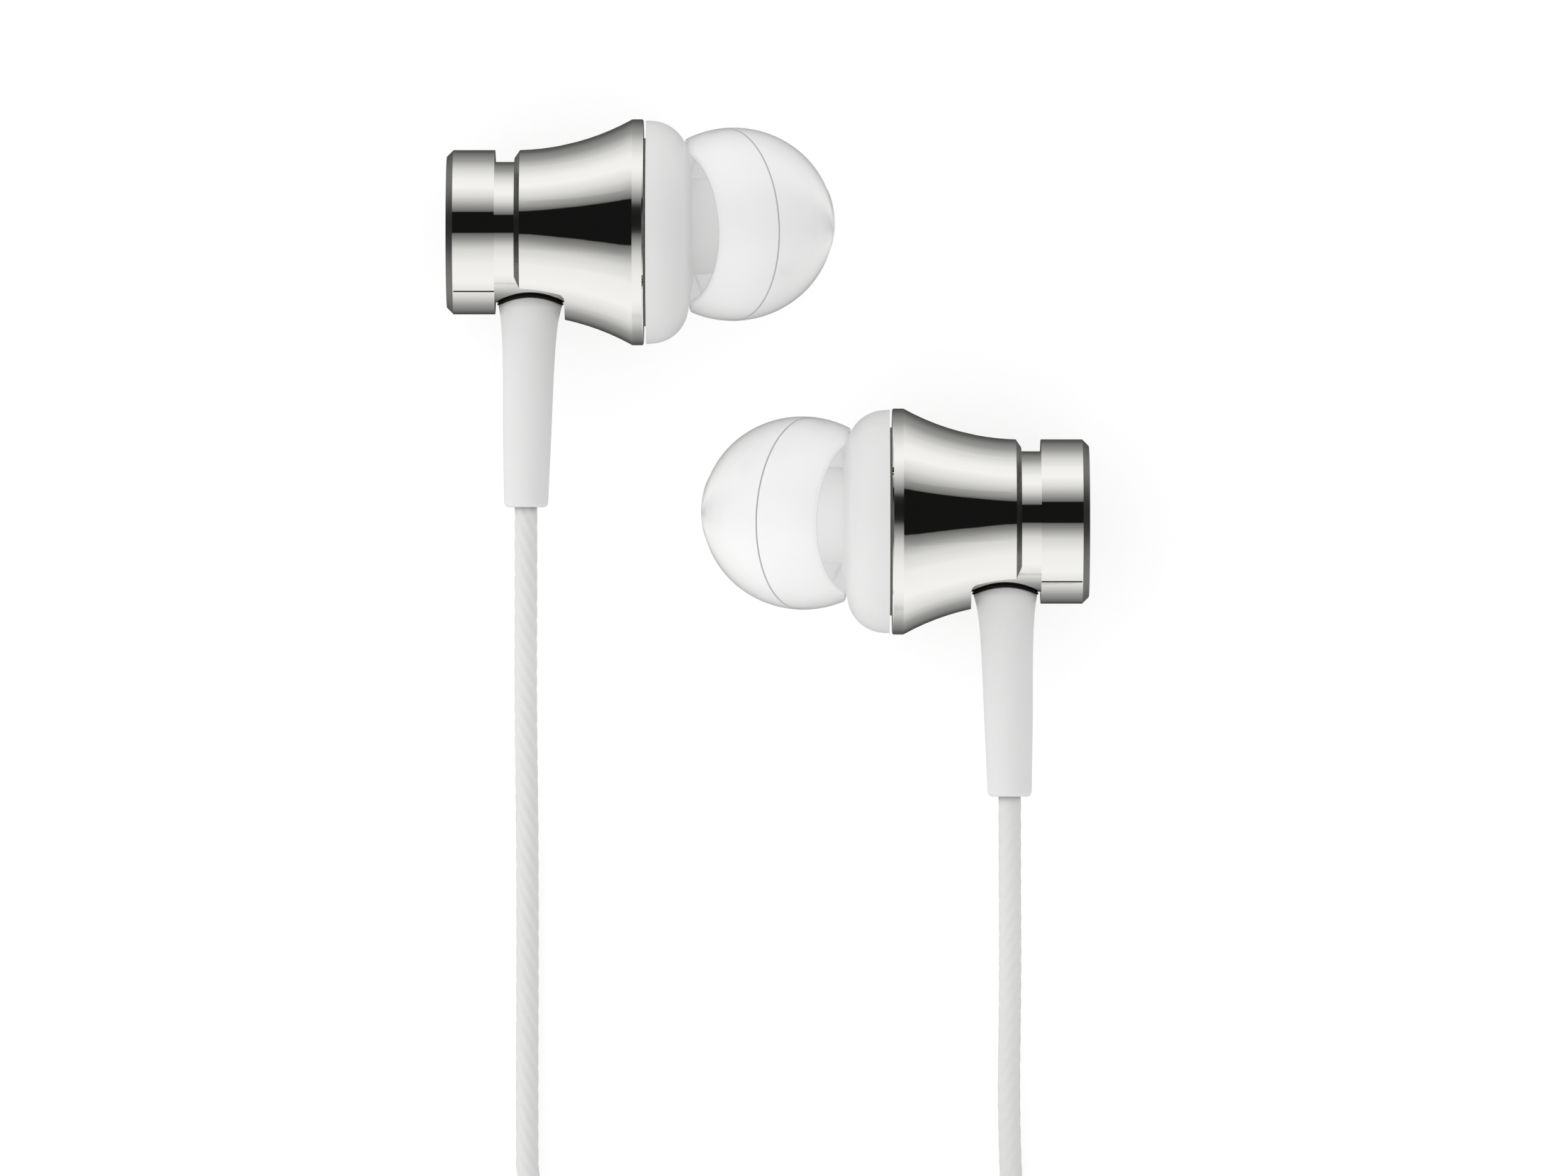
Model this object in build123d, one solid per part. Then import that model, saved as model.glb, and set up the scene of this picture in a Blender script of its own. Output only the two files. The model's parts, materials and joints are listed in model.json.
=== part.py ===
from build123d import *
import os
from math import cos, pi, radians, sin, tan

os.makedirs("parts", exist_ok=True)

# Wired in-ear earphones lying on a flat surface, in millimetres.
# +Z is up and z = 0 is the surface.  The origin is under the middle of the two earpieces.
# Each earpiece is designed along its own X axis: s = 0 at the rear face of the cap,
# the ear tip towards +s and the cord leaving towards +Y.

# ---------------------------------------------------------------- placing
span = 40.6                 # from one cap's rear face to the other's
stagger = 18.3              # one earpiece's axis ahead of the other's, along Y

# ---------------------------------------------------------------- rear cap
cap_radius = 5.2
cap_length = 3.05
cap_bevel = 0.42
cap_wall = 0.9
groove_width = 1.23         # from the cap to the metal housing
neck_radius = 4.45
neck_wall = 0.85
neck_length = 4.95

# ---------------------------------------------------------------- metal housing
housing_length = 8.16
housing_rear_radius = 5.2
rim_radius = 7.15
rim_width = 0.7
rim_edge = 0.08
flare_start_angle = 1.5     # degrees, where the flare leaves the rear bevel
rear_bevel_length = 0.34
rear_bevel_depth = 0.5
neck_clearance = 0.05
notch_half_width = 3.72     # the slot round the cord boot
notch_depth = 3.18
notch_corner = 0.35
socket_depth = 1.24         # where the front shell's spigot enters
socket_radius = 6.0

# ---------------------------------------------------------------- front shell and nozzle
shell_gap = 0.16            # hairline between rim and shell
shell_radius = 7.07
shell_face = 15.6           # s of the middle of the front face
shell_round = 2.4
shell_shoulder = (14.92, 6.93)
shell_face_radius = 3.0
shell_wall = 1.1
ledge_depth = 0.5           # the step that holds the driver's cover
spigot_clearance = 0.05
nozzle_root = (15.5, -0.36, 0)
nozzle_down = 30            # degrees the nozzle dips
nozzle_side = 4             # degrees the nozzle leans away from the cord
collar_radius = 3.05
collar_end = 1.9            # distances along the nozzle, from its root
nozzle_radius = 2.3
barb_radius = 2.55
barb_length = 1.0
nozzle_end = 6.2
channel_radius = 1.6
mesh_radius = 2.0
mesh_thickness = 0.18
damper_length = 0.8

# ---------------------------------------------------------------- silicone ear tip
tip_radius = 6.12
tip_half_length = 6.45
tip_middle = 3.01           # the widest place, along the nozzle
tip_front = 6.05            # front face, ahead of the widest place
tip_skirt = 3.76            # rear rim, behind the widest place
tip_wall = 0.5
tip_fit = 0.06              # round the barb
tip_hole_radius = 1.9
tip_shell_clearance = 0.25

# ---------------------------------------------------------------- driver
driver_radius = 4.95
driver_rear = 8.95
driver_depth = 3.15
driver_clearance = 0.1
basket_wall = 0.4
yoke_radius = 3.6
yoke_wall = 0.5
yoke_depth = 2.2
yoke_step = 0.25            # the yoke's rear stands behind the frame's
glue_line = 0.1
magnet_radius = 2.35
magnet_thickness = 1.2
washer_radius = 2.45
washer_thickness = 0.45
coil_inner = 2.62
coil_outer = 2.86
coil_height = 0.9
coil_lift = 0.2             # the coil stands ahead of the washer
diaphragm_radius = 4.3
diaphragm_thickness = 0.12
dome_rise = 0.55
surround_rise = 0.3
cover_thickness = 0.2
cover_hole_radius = 0.65
cover_hole_circle = 2.6
board_radius = 3.0
board_thickness = 0.55
wire_radius = 0.2
wire_spread = (0.7, 1.3)    # the two wires' distance from the middle, at the cord and at the board

# ---------------------------------------------------------------- boot and cord
cord_diameter = 1.45
boot_station = 5.0          # s of the cord
boot_seat = 4.72            # the boot starts this far from the earpiece's axis
boot_end = 17.4
boot_sections = [(4.2, 2.1, 0.3), (5.8, 1.8, 0.22), (8.5, 1.63, 0.16), (12.4, 1.54, 0.08), (17.4, 1.39, 0)]
boot_stem_radius = 1.5
boot_hole_clearance = 0.05
boot_flange_radius = 2.2
boot_flange = (1.9, 2.7)

# ---------------------------------------------------------------- button pod where the cords join
pod_length = 17.0
pod_width = 6.2
pod_height = 4.8
pod_corner = 1.2
pod_edge = 0.7
pod_wall = 0.8
pod_centre = (1.5, 93.5)
pod_boot_length = 2.5
pod_boot_stem = 1.5
pod_boot_root = (1.4, 2.72, 1.1)    # width over the cords, height and corner, at the pod
pod_boot_mouth = (0.7, 2.22, 0.95)  # the same, where the cords enter
button_length = 6.1
button_width = 2.7
button_gap = 0.12
button_proud = 0.35
button_lip = 0.5
button_lip_thickness = 0.3
button_round = 0.3
pod_board_length = 13.0
pod_board_width = 4.2
pod_board_thickness = 0.6
pod_board_height = 1.6
switch_size = (3.2, 2.6, 0.8)
switch_plunger_radius = 0.6
switch_plunger_height = 0.35
microphone_radius = 1.4
microphone_height = 1.0
microphone_offset = 5.0
microphone_port = 0.4
foot_size = (1.2, 4.6, 0.8)
foot_offset = 4.0
pair_spacing = 1.7          # between the two cords that enter side by side

# ---------------------------------------------------------------- 3.5 mm plug
plug_radius = 1.75
plug_start = -11.5          # x of the plug boot's cord end
plug_y = 101.3
plug_boot_length = 6.0
grip_radius = 2.6
grip_length = 12.0
grip_wall = 0.4
grip_edge = 0.3
grip_lip = 0.5
sleeve_length = 3.9
sleeve_neck_radius = 1.5    # where the sleeve passes through the grip's front
band_length = 0.6
ring_length = 2.0
tip_contact = [(0.7, 1.75), (1.3, 1.2), (1.8, 1.2), (2.6, 1.7), (3.1, 1.6), (4.1, 0.7), (4.3, 0.4), (4.3, 0)]
contact_bore = 0.78
rod_radius = 0.5
insulator_radius = 0.74
plug_flange_radius = 2.1
plug_flange_length = 1.05
core_gap = 3.0              # from the moulded core to the grip's front
rod_reach = 2.9             # the contacts' tails reach this far into the grip
plug_boot_profile = [(0, 0.94), (4.8, 1.7), (6.0, 1.9)]
plug_boot_spigot = 1.0

# ---------------------------------------------------------------- put-away coil
coil_centre = (0, 68)
ring_inner = 11.9
ring_outer = 19.35
ring_height = 4.7
tie_width = 3.2
tie_thickness = 0.45
tie_proud = 0.2
coil_round = 1.4

# ================================================================ helpers


def lathe(*outline):
    """A solid turned about X from an outline of (station, radius) points."""
    return revolve(make_face(Polyline(*outline, close=True)), Axis.X)


def disc(start, end, radius, bore=0):
    """A round disc, or a washer, about X."""
    return lathe((start, bore), (start, radius), (end, radius), (end, bore))


def upright(radius, bottom, top, x=0, y=0):
    """A round post along Z."""
    return Pos(x, y, bottom) * Cylinder(radius, top - bottom, align=(Align.CENTER, Align.CENTER, Align.MIN))


def block(size, x, y, bottom):
    """A box that stands on the height given."""
    return Pos(x, y, bottom) * Box(*size, align=(Align.CENTER, Align.CENTER, Align.MIN))


def tube(name, points):
    """A cord's tube: straight runs joined by arcs as large as the two runs allow."""
    spots = [Vector(*point) for point in points]
    runs = [after - before for before, after in zip(spots, spots[1:])]
    radii = []
    for before, after in zip(runs, runs[1:]):
        turn = radians(before.get_angle(after))
        radii.append(0.45 * min(before.length, after.length) / tan(turn / 2))
    path = FilletPolyline(*spots, radius=radii)
    solid = sweep(Plane(origin=path @ 0, z_dir=path % 0) * Circle(cord_diameter / 2), path=path)
    section = pi * cord_diameter**2 / 4
    print(name, "radii", [round(radius, 1) for radius in radii], "length", round(path.length, 1),
          "volume/section*length", round(solid.volume / (section * path.length), 4))
    return solid


# ================================================================ one earpiece

housing_rear = cap_length + groove_width
housing_front = housing_rear + housing_length
neck_end = cap_length + neck_length
shell_rear = housing_front + shell_gap
spigot_rear = housing_front - socket_depth + 0.1
driver_front = driver_rear + driver_depth
yoke_rear = driver_rear - yoke_step
cavity_radius = driver_radius + driver_clearance
nozzle_place = Pos(*nozzle_root) * Rot(0, 0, -nozzle_side) * Rot(0, nozzle_down, 0)


def make_rear_cap():
    cap = lathe((0, 0), (0, cap_radius - cap_bevel), (cap_bevel, cap_radius), (cap_length, cap_radius),
                (cap_length, neck_radius), (neck_end, neck_radius), (neck_end, 0))
    hollow = disc(cap_wall, neck_end, neck_radius - neck_wall)
    hole_radius = boot_stem_radius + boot_hole_clearance
    hole = Pos(boot_station, 0, 0) * Cylinder(hole_radius, cap_radius, rotation=(-90, 0, 0),
                                              align=(Align.CENTER, Align.CENTER, Align.MIN))
    return cap - hollow - hole


def make_metal_housing():
    bevel_top = (housing_rear + rear_bevel_length, housing_rear_radius)
    flare_top = (housing_front - rim_width - rim_edge, rim_radius - rim_edge / 2)
    start_angle = radians(flare_start_angle)
    outer = Polyline((housing_rear, neck_radius + neck_clearance),
                     (housing_rear, housing_rear_radius - rear_bevel_depth), bevel_top)
    flare = TangentArc(bevel_top, flare_top, tangent=(cos(start_angle), sin(start_angle)))
    front = Polyline(flare_top, (housing_front - rim_width, rim_radius),
                     (housing_front - rim_edge, rim_radius), (housing_front, rim_radius - rim_edge),
                     (housing_front, socket_radius), (housing_front - socket_depth, socket_radius),
                     (housing_front - socket_depth, cavity_radius), (driver_rear, cavity_radius),
                     (driver_rear, neck_radius + neck_clearance),
                     (housing_rear, neck_radius + neck_clearance))
    body = revolve(make_face([outer, flare, front]), Axis.X)
    margin = 1.0
    notch = RectangleRounded(notch_depth + margin, 2 * notch_half_width, notch_corner)
    slot = Pos(housing_rear + (notch_depth - margin) / 2, 0, 0) * Rot(-90, 0, 0) * notch
    return body - extrude(slot, rim_radius)


def shell_outline(extra=0):
    """The turned outside of the front shell, or the same shape larger all round."""
    rear = (shell_rear, shell_radius + extra)
    corner = (shell_shoulder[0] + extra, shell_shoulder[1] + extra)
    face = (shell_face + extra, shell_face_radius + extra)
    lines = FilletPolyline(rear, corner, face, radius=shell_round)
    rest = Polyline(face, (shell_face + extra, 0), (shell_rear, 0), rear)
    return revolve(make_face([lines, rest]), Axis.X)


def make_front_shell():
    spigot = disc(spigot_rear, shell_rear, socket_radius - spigot_clearance)
    nozzle = nozzle_place * lathe(
        (-2, 0), (-2, collar_radius), (collar_end, collar_radius), (collar_end, nozzle_radius),
        (nozzle_end - barb_length, nozzle_radius), (nozzle_end - barb_length, barb_radius),
        (nozzle_end - barb_length / 2, barb_radius), (nozzle_end, nozzle_radius), (nozzle_end, 0))
    ledge = driver_front + cover_thickness + 0.05
    inner = cavity_radius - ledge_depth
    cavity = lathe((spigot_rear, 0), (spigot_rear, cavity_radius), (ledge, cavity_radius), (ledge, inner),
                   (shell_rear + shell_wall, inner), (shell_face - shell_wall, 0.7 * inner),
                   (shell_face - shell_wall, 0))
    channel = nozzle_place * disc(-3.5, nozzle_end, channel_radius)
    seat = nozzle_place * disc(nozzle_end - 1.5 * mesh_thickness, nozzle_end, mesh_radius)
    return spigot + shell_outline() + nozzle - cavity - channel - seat


def make_ear_tip():
    """A hollow dome on a sleeve: the dome's outside is half an ellipse that ends in a rear rim."""
    def dome(along, grow=0):
        radius = (tip_radius + grow) * (1 - (along / (tip_half_length + grow)) ** 2) ** 0.5
        return (tip_middle + along, radius)

    rim_out = dome(-tip_skirt)
    front_out = dome(tip_front - 0.25)
    front = tip_middle + tip_front
    rear_arc = ThreePointArc(rim_out, dome(-tip_skirt / 2), dome(0))
    front_arc = Spline(dome(0), dome(1.8), dome(3.4), dome(4.8), front_out, tangents=[(1, 0), (0.45, -1)])
    sleeve_bore = barb_radius + tip_fit
    fold = (tip_middle + tip_front - 2.2, collar_radius)
    closing = Polyline(front_out, (front, front_out[1] - 0.45), (front, tip_hole_radius),
                       (nozzle_end + 0.1, tip_hole_radius), (nozzle_end + 0.1, sleeve_bore),
                       (collar_end + 0.1, sleeve_bore), (collar_end + 0.1, collar_radius), fold)
    rim_in = (rim_out[0], rim_out[1] - 0.7 * tip_wall)
    inner_arc = ThreePointArc(fold, (tip_middle + 0.6, tip_radius - 1.35 * tip_wall), rim_in)
    rim = Line(rim_in, rim_out)
    tip = revolve(make_face([rear_arc, front_arc, closing, inner_arc, rim]), Axis.X)
    keep_clear = shell_outline(tip_shell_clearance) + disc(housing_rear, shell_rear, rim_radius)
    return nozzle_place * tip - keep_clear


def make_driver():
    """The moving-coil driver's pieces, from its rear to its front."""
    magnet_rear = yoke_rear + yoke_wall + glue_line
    magnet_front = magnet_rear + magnet_thickness
    washer_front = magnet_front + washer_thickness
    coil_front = washer_front + coil_lift
    film = diaphragm_thickness
    shelf = coil_front - 0.3
    shelf_bore = diaphragm_radius - 0.5
    yoke = lathe((yoke_rear, 0), (yoke_rear, yoke_radius), (yoke_rear + yoke_depth, yoke_radius),
                 (yoke_rear + yoke_depth, yoke_radius - yoke_wall),
                 (yoke_rear + yoke_wall, yoke_radius - yoke_wall), (yoke_rear + yoke_wall, 0))
    frame = lathe((driver_rear, yoke_radius + 0.02), (driver_rear, driver_radius),
                  (driver_front, driver_radius), (driver_front, driver_radius - basket_wall),
                  (shelf - 0.4, driver_radius - basket_wall),
                  (shelf - 0.6, shelf_bore), (shelf - 0.9, shelf_bore),
                  (shelf - 0.9, yoke_radius + 0.02))
    dome_front = coil_front + dome_rise
    seam_radius = coil_outer + film
    roll_middle = (seam_radius + diaphragm_radius) / 2

    def film_side(offset):
        """One face of the film: a domed middle and a half-round surround."""
        seam = (coil_front + offset, seam_radius)
        shoulder = (dome_front - dome_rise / 4 + offset, seam_radius / 2)
        middle = ThreePointArc((dome_front + offset, 0), shoulder, seam)
        roll = (coil_front + surround_rise + offset, roll_middle)
        surround = ThreePointArc(seam, roll, (coil_front + offset, diaphragm_radius))
        return [middle, surround]

    rear_side = film_side(0)
    front_side = film_side(film)
    edge = Line(rear_side[1] @ 1, front_side[1] @ 1)
    centre = Line(rear_side[0] @ 0, front_side[0] @ 0)
    diaphragm = revolve(make_face([*rear_side, edge, *front_side, centre]), Axis.X)
    cover = disc(driver_front, driver_front + cover_thickness, driver_radius - 0.1)
    hole = Cylinder(cover_hole_radius, 2, rotation=(0, 90, 0))
    cover -= Pos(driver_front, 0, 0) * hole
    for turn in range(6):
        angle = radians(60 * turn)
        cover -= Pos(driver_front, cover_hole_circle * cos(angle), cover_hole_circle * sin(angle)) * hole
    return {
        "driver_yoke": yoke,
        "driver_magnet": disc(magnet_rear, magnet_front, magnet_radius),
        "driver_washer": disc(magnet_front, washer_front, washer_radius),
        "driver_frame": frame,
        "voice_coil": disc(coil_front - coil_height, coil_front, coil_outer, coil_inner),
        "diaphragm": diaphragm,
        "driver_cover": cover,
        "terminal_board": disc(yoke_rear - board_thickness, yoke_rear, board_radius),
    }


def make_strain_relief():
    circles = [Plane(origin=(boot_station + lean, reach, 0), z_dir=(0, 1, 0)) * Circle(radius)
               for reach, radius, lean in boot_sections]
    body = loft(circles) - disc(0, housing_front, boot_seat)
    bottom, top = boot_flange
    stem = Pos(boot_station, top, 0) * Cylinder(boot_stem_radius, boot_seat - top, rotation=(-90, 0, 0),
                                                align=(Align.CENTER, Align.CENTER, Align.MIN))
    flange = Pos(boot_station, bottom, 0) * Cylinder(boot_flange_radius, top - bottom, rotation=(-90, 0, 0),
                                                     align=(Align.CENTER, Align.CENTER, Align.MIN))
    return body + stem + flange


def make_lead_wires():
    """Two fine wires from the cord, inside the neck, to the terminal board."""
    board_rear = yoke_rear - board_thickness
    wires = []
    for side in (-1, 1):
        near, far = side * wire_spread[0], side * wire_spread[1]
        start = (boot_station, boot_flange[0], near)
        corner = (boot_station, wire_radius, near)
        path = FilletPolyline(start, corner, (board_rear, wire_radius, far), radius=[0.8])
        wires.append(sweep(Plane(origin=path @ 0, z_dir=path % 0) * Circle(wire_radius), path=path))
    return Compound(wires)


mesh_front = nozzle_end - 0.4 * mesh_thickness
damper_front = nozzle_end - 1.5 * mesh_thickness - 0.05
earpiece = {
    "rear_cap": make_rear_cap(),
    "metal_housing": make_metal_housing(),
    "front_shell": make_front_shell(),
    "ear_tip": make_ear_tip(),
    "nozzle_mesh": nozzle_place * disc(mesh_front - mesh_thickness, mesh_front, mesh_radius - 0.04),
    "nozzle_damper": nozzle_place * disc(damper_front - damper_length, damper_front, channel_radius - 0.04),
    "strain_relief": make_strain_relief(),
    "lead_wires": make_lead_wires(),
    **make_driver(),
}

# The ear tips touch the surface, and the two axes are at that height.
axis_height = -earpiece["ear_tip"].bounding_box().min.Z
left_y = (stagger + rim_radius - boot_end) / 2
right_y = left_y - stagger
nodes = {}
for name, piece in earpiece.items():
    nodes["left_" + name] = Pos(-span / 2, left_y, axis_height) * piece
    nodes["right_" + name] = Pos(span / 2, right_y, axis_height) * piece.mirror(Plane.YZ)

# ================================================================ button pod

pod_x, pod_y = pod_centre
seam = pod_height / 2
pod_rear = pod_x - pod_length / 2
pod_front = pod_x + pod_length / 2
hollow_size = (pod_length - 2 * pod_wall, pod_width - 2 * pod_wall)
ceiling = pod_height - pod_wall


def make_pod_shells():
    outside = Pos(pod_x, pod_y, 0) * extrude(RectangleRounded(pod_length, pod_width, pod_corner), pod_height)
    faces = outside.faces().sort_by(Axis.Z)
    outside = fillet(faces[0].edges() + faces[-1].edges(), pod_edge)
    hollow_face = RectangleRounded(*hollow_size, pod_corner / 2)
    hollow = Pos(pod_x, pod_y, pod_wall) * extrude(hollow_face, ceiling - pod_wall)
    shells = outside - hollow
    gap = 2 * 0.05
    for end, width in ((pod_rear, pair_spacing + pod_boot_stem), (pod_front, pod_boot_stem)):
        shells -= Pos(end, pod_y, seam) * Box(2.5 * pod_wall, width + gap, pod_boot_stem + gap)
    opening = SlotOverall(button_length + 2 * button_gap, button_width + 2 * button_gap)
    shells -= Pos(pod_x, pod_y, seam) * extrude(opening, pod_height)
    shells -= upright(microphone_port, seam, pod_height + 1, pod_x + microphone_offset, pod_y)
    halves = {}
    for name, bottom in (("pod_lower_shell", -1), ("pod_upper_shell", seam)):
        halves[name] = shells & block((2 * pod_length, 2 * pod_width, seam + 1), pod_x, pod_y, bottom)
    for offset in (-foot_offset, foot_offset):
        halves["pod_lower_shell"] += block(foot_size, pod_x + offset, pod_y, pod_wall)
    return halves


def make_pod_button():
    lip_size = (button_length + 2 * button_lip, button_width + 2 * button_lip)
    lip_top = ceiling - 0.05
    cap_bottom = lip_top - 0.01
    cap_height = pod_height + button_proud - cap_bottom
    cap = Pos(pod_x, pod_y, cap_bottom) * extrude(SlotOverall(button_length, button_width), cap_height)
    cap = fillet(cap.faces().sort_by(Axis.Z)[-1].edges(), button_round)
    lip_bottom = lip_top - button_lip_thickness
    lip = Pos(pod_x, pod_y, lip_bottom) * extrude(SlotOverall(*lip_size), button_lip_thickness)
    return cap + lip


def make_pod_boot(end, way, width):
    """A soft collar that grips the cords where they enter the pod."""
    sections = []
    for reach, (extra, tall, corner) in ((0, pod_boot_root), (pod_boot_length, pod_boot_mouth)):
        across = Plane(origin=(end + way * reach, pod_y, seam), x_dir=(0, 1, 0), z_dir=(way, 0, 0))
        sections.append(across * RectangleRounded(width + extra, tall, corner))
    body = loft(sections)
    stem = Pos(end - way * pod_wall / 2, pod_y, seam) * Box(pod_wall, width, pod_boot_stem)
    flange = Pos(end - way * (pod_wall + 0.35), pod_y, seam) * Box(0.5, width + 0.8, pod_boot_stem + 0.6)
    link = Pos(end - way * (pod_wall + 0.05), pod_y, seam) * Box(0.2, width, pod_boot_stem)
    return body + stem + link + flange


board_top = pod_board_height + pod_board_thickness
switch_top = board_top + switch_size[2]
nodes.update(make_pod_shells())
nodes["pod_button"] = make_pod_button()
pod_board_size = (pod_board_length, pod_board_width, pod_board_thickness)
nodes["pod_board"] = block(pod_board_size, pod_x, pod_y, pod_board_height)
nodes["pod_switch"] = block(switch_size, pod_x, pod_y, board_top) + upright(
    switch_plunger_radius, switch_top, switch_top + switch_plunger_height, pod_x, pod_y)
nodes["pod_microphone"] = upright(microphone_radius, board_top, board_top + microphone_height,
                                  pod_x + microphone_offset, pod_y)
nodes["pod_inlet_boot"] = make_pod_boot(pod_rear, -1, pair_spacing + pod_boot_stem)
nodes["pod_outlet_boot"] = make_pod_boot(pod_front, 1, pod_boot_stem)

# ================================================================ plug

plug_place = Pos(plug_start, plug_y, grip_radius)
grip_start = plug_boot_length
grip_end = grip_start + grip_length
contact_starts = [grip_end]
for length in (sleeve_length, band_length, ring_length, band_length, ring_length, band_length):
    contact_starts.append(contact_starts[-1] + length)
sleeve_start, band_1, ring_2, band_2, ring_1, band_3, tip_start = contact_starts


def make_plug():
    grip_bore = grip_radius - grip_wall
    spigot_end = grip_start + plug_boot_spigot
    boot = lathe((0, 0), *plug_boot_profile, (grip_start, grip_bore - 0.05), (spigot_end, grip_bore - 0.05),
                 (spigot_end, 0))
    lip_rear = grip_end - grip_lip
    lip_bore = sleeve_neck_radius + 0.05
    grip = lathe((grip_start, grip_bore), (grip_start, grip_radius - grip_edge),
                 (grip_start + grip_edge, grip_radius), (grip_end - grip_edge, grip_radius),
                 (grip_end, grip_radius - grip_edge),
                 (grip_end, lip_bore), (lip_rear, lip_bore), (lip_rear, grip_bore))
    core = disc(spigot_end + 0.2, grip_end - core_gap, plug_flange_radius)
    flange_front = lip_rear - 0.05
    sleeve = disc(flange_front - plug_flange_length, flange_front, plug_flange_radius, contact_bore)
    sleeve += disc(flange_front - 0.05, grip_end + 0.05, sleeve_neck_radius, contact_bore)
    sleeve += disc(grip_end, band_1, plug_radius, contact_bore)
    rod_rear = grip_end - rod_reach
    insulator = disc(rod_rear, tip_start, insulator_radius, rod_radius + 0.02)
    for start in (band_1, band_2, band_3):
        insulator += disc(start, start + band_length, plug_radius, rod_radius + 0.02)
    profile = [(tip_start + ahead, radius) for ahead, radius in tip_contact]
    tip = lathe((rod_rear, 0), (rod_rear, rod_radius), (tip_start, rod_radius),
                (tip_start, plug_radius), *profile)
    return {
        "plug_boot": boot,
        "plug_grip": grip,
        "plug_core": core,
        "plug_sleeve": sleeve,
        "plug_insulator": insulator,
        "plug_ring_1": disc(ring_1, ring_1 + ring_length, plug_radius, contact_bore),
        "plug_ring_2": disc(ring_2, ring_2 + ring_length, plug_radius, contact_bore),
        "plug_tip": tip,
    }


for name, piece in make_plug().items():
    nodes[name] = plug_place * piece

# ================================================================ cords

low = cord_diameter / 2     # a cord's middle when it lies on the surface
cord_x = span / 2 - boot_station
left_exit = left_y + boot_end
right_exit = right_y + boot_end
inlet_x = pod_rear - pod_boot_length
outlet_x = pod_front + pod_boot_length
outer_y = pod_y + pair_spacing / 2
inner_y = pod_y - pair_spacing / 2

ring_profile = Pos((ring_inner + ring_outer) / 2, ring_height / 2) * RectangleRounded(
    ring_outer - ring_inner, ring_height, coil_round)
coil_ring = Pos(*coil_centre, 0) * revolve(Plane.XZ * ring_profile, Axis.Z)
tie_y = coil_centre[1] + (ring_inner + ring_outer) / 2
tie_depth = ring_outer - ring_inner
tie_outside = block((tie_width, tie_depth + 2 * tie_proud, ring_height + tie_proud), 0, tie_y, 0)
window_height = ring_height - 2 * tie_thickness + tie_proud
window_depth = tie_depth + 2 * (tie_proud - tie_thickness)
tie_window = block((tie_width, window_depth, window_height), 0, tie_y, tie_thickness)
nodes["cord_tie"] = fillet(tie_outside.edges().filter_by(Axis.X), coil_round) - tie_window
nodes["cord_coil"] = coil_ring - tie_outside + (coil_ring & tie_window)

# Each route's end at the coil lies just inside it.
routes = {
    "left_branch_cord": [
        (-cord_x, left_exit, axis_height), (-cord_x, left_exit + 5, axis_height),
        (-cord_x - 0.1, left_exit + 12, 3.2), (-cord_x, left_exit + 21, low),
        (-cord_x - 0.5, left_exit + 31, low), (-cord_x - 2.0, left_exit + 40, low)],
    "right_branch_cord": [
        (cord_x, right_exit, axis_height), (cord_x, right_exit + 5, axis_height),
        (cord_x + 0.1, right_exit + 12.5, 3.2), (cord_x, right_exit + 22.5, low),
        (cord_x + 0.1, right_exit + 34, low), (cord_x - 0.1, 46.3, low), (cord_x - 5.0, 51.6, low),
        (cord_x - 9.5, 51.9, low)],
    "left_pod_cord": [
        (-17.8, 69.8, low), (-19.9, 75.6, low), (-20.1, 85.0, low), (-18.3, 91.0, 1.3),
        (-13.7, outer_y, seam), (inlet_x, outer_y, seam)],
    "right_pod_cord": [
        (-16.2, 70.1, low), (-18.2, 75.4, low), (-18.45, 83.5, low), (-16.9, 89.4, 1.3),
        (-13.3, inner_y, seam), (inlet_x, inner_y, seam)],
    "main_pod_cord": [
        (outlet_x, pod_y, seam), (outlet_x + 3.9, pod_y, seam), (outlet_x + 7.4, pod_y - 3.3, 1.3),
        (outlet_x + 8.3, pod_y - 9.5, low), (outlet_x + 6.9, pod_y - 18.3, low), (17.0, 69.4, low)],
    "plug_cord": [
        (-18.6, 64.5, low), (-22.0, 78.5, low), (-22.1, 88.5, low), (-20.6, 97.6, 1.4),
        (plug_start - 4.4, plug_y, grip_radius), (plug_start, plug_y, grip_radius)],
}
for name, points in routes.items():
    nodes[name] = tube(name, points)

for name, shape in nodes.items():
    export_step(shape, "parts/" + name + ".step")
print("axis height", round(axis_height, 3), "left_y", round(left_y, 3), "right_y", round(right_y, 3))
print(len(nodes), "nodes")
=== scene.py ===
"""Wired in-ear earphones lying on a pale surface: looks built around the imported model."""

import json
import math
import random

import bmesh
import bpy
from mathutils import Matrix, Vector
from mathutils.bvhtree import BVHTree


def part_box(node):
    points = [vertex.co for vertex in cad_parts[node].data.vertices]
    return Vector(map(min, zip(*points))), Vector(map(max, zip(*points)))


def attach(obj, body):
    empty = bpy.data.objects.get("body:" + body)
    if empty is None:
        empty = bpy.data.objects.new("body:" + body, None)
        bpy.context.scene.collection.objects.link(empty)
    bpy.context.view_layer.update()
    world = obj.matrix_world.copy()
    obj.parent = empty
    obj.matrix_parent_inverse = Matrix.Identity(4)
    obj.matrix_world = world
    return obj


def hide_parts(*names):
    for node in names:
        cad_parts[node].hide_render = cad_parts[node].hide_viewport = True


bl_info = {
    "name": "Earphone looks",
    "version": (1, 0, 0),
    "blender": (4, 5, 0),
    "location": "View3D > Sidebar > Earphones",
    "description": "Builds the visible pieces of a pair of wired earphones",
    "category": "Object",
}

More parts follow.
